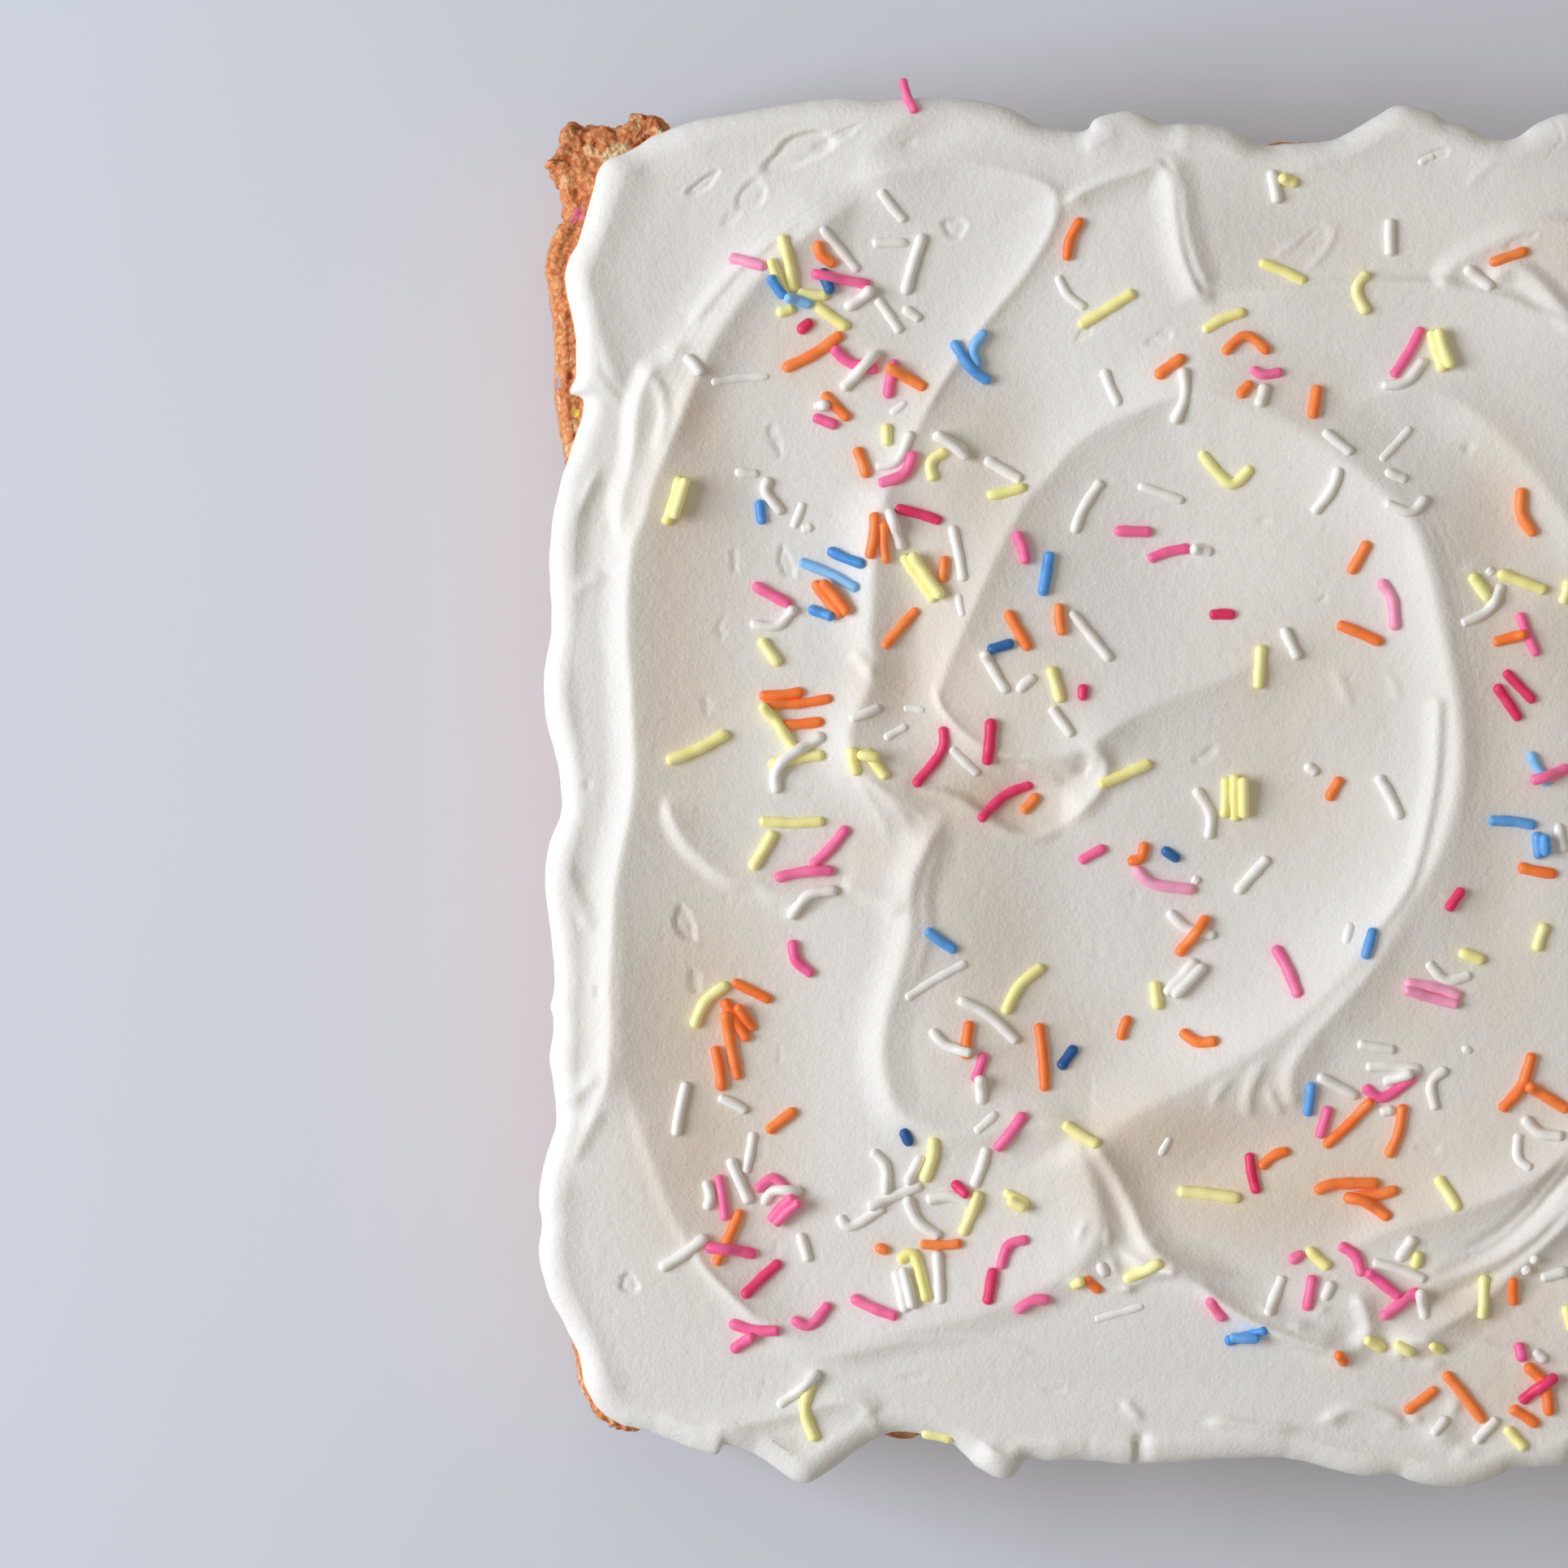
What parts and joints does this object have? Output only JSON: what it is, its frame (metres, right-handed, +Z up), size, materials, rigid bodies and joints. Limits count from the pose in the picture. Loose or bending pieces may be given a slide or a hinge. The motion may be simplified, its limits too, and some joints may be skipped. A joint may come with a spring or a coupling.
{
  "type": "sheet cake",
  "caption": "Rectangular bare-sided sponge sheet cake with a thick, swept spread of off-white frosting on top and scattered rainbow sprinkles.",
  "frame": {"origin": "on the surface that the cake stands on, under the middle of its box", "axes": "+X along the cake's length, +Y across it towards the picture's top edge, +Z up"},
  "size_m": [0.3332, 0.2302, 0.0526],
  "materials": {
    "sponge": "baked yellow sponge: a browned, torn side with an open crumb, small pores and a few coloured flecks, dull",
    "frosting": "whipped off-white frosting, smooth and soft with a faint satin sheen, swept into folds with a spatula",
    "sprinkles": "sugar strand sprinkles in pink, red, orange, yellow, light and dark blue and white, slightly waxy"
  },
  "bodies": {
    "root": {"sponge": "sponge", "frosting": "frosting"}
  },
  "joints": []
}
